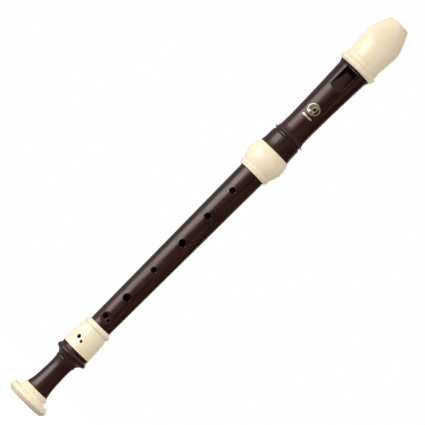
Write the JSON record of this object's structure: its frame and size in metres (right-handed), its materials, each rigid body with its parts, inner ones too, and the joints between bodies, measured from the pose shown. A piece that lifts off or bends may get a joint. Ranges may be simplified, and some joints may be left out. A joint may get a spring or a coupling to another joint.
{
  "type": "soprano recorder",
  "caption": "Three-joint soprano recorder with a cream beak, ferrule, sleeve and bell ring on brown tubes; stands upright on its foot.",
  "frame": {"origin": "middle of the foot's flat end face, on the bore's axis, where the recorder stands", "axes": "+Z along the bore from the foot to the beak's tip, -Y the front with the window and finger holes, +Y the back with the thumb hole"},
  "size_m": [0.0294, 0.0294, 0.325],
  "materials": {
    "brown_body": "satin, moulded rosewood-look grain along the bore",
    "cream_trim": "semi-gloss ivory-coloured plastic",
    "cream_block": "satin ivory-coloured plastic",
    "seal_rubber": "matt black rubber"
  },
  "bodies": {
    "middle": {"middle_tube": "brown_body"},
    "upper_seal": {"upper_seal_ring": "seal_rubber"},
    "head": {"head_tube": "brown_body", "head_ferrule": "cream_trim", "block": "cream_block", "beak": "cream_trim"},
    "lower_seal": {"lower_seal_ring": "seal_rubber"},
    "foot": {"foot_body": "brown_body", "foot_sleeve": "cream_trim", "foot_bell": "cream_trim"}
  },
  "joints": [
    {"name": "head_twist", "type": "hinge", "parent": "middle", "child": "upper_seal", "pos_m": [0, 0, 0.2154], "axis": [0, 0, 1], "continuous": true},
    {"name": "head_pull", "type": "slide", "parent": "upper_seal", "child": "head", "axis": [0, 0, 1], "range_m": [0, 0.024]},
    {"name": "foot_twist", "type": "hinge", "parent": "middle", "child": "lower_seal", "pos_m": [0, 0, 0.0579], "axis": [0, 0, 1], "continuous": true},
    {"name": "foot_pull", "type": "slide", "parent": "lower_seal", "child": "foot", "axis": [0, 0, -1], "range_m": [0, 0.0125]}
  ]
}
